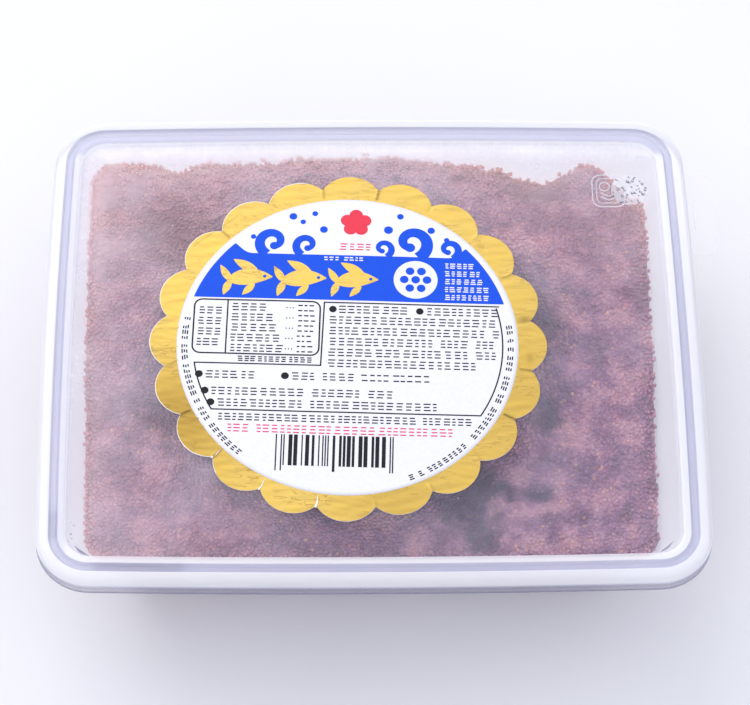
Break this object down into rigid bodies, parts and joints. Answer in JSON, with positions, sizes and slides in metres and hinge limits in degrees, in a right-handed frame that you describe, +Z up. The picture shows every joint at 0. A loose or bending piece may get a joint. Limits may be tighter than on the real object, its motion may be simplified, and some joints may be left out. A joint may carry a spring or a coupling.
{
  "type": "lidded tub of seasoned tobiko",
  "caption": "Shut rectangular plastic tub packed with seasoned flying-fish roe, under a clear press-on lid with a pull tab and a round scalloped gold seal.",
  "frame": {"origin": "on the floor, under the middle of the pack's overall box, pull tab included", "axes": "+X along the long side, to the right as the seal reads and towards the pull tab; +Y away from the reader; +Z up through the lid"},
  "size_m": [0.173, 0.136, 0.041],
  "materials": {
    "tub": "milky translucent moulded polypropylene",
    "lid": "clear, slightly hazy moulded polypropylene",
    "roe": "wet, fine-grained fish roe in soy seasoning",
    "label": "gold foil paper, finely crinkled, with a printed white disc"
  },
  "bodies": {
    "root": {"tub": "tub", "lid": "lid", "roe": "roe", "label": "label"}
  },
  "joints": []
}
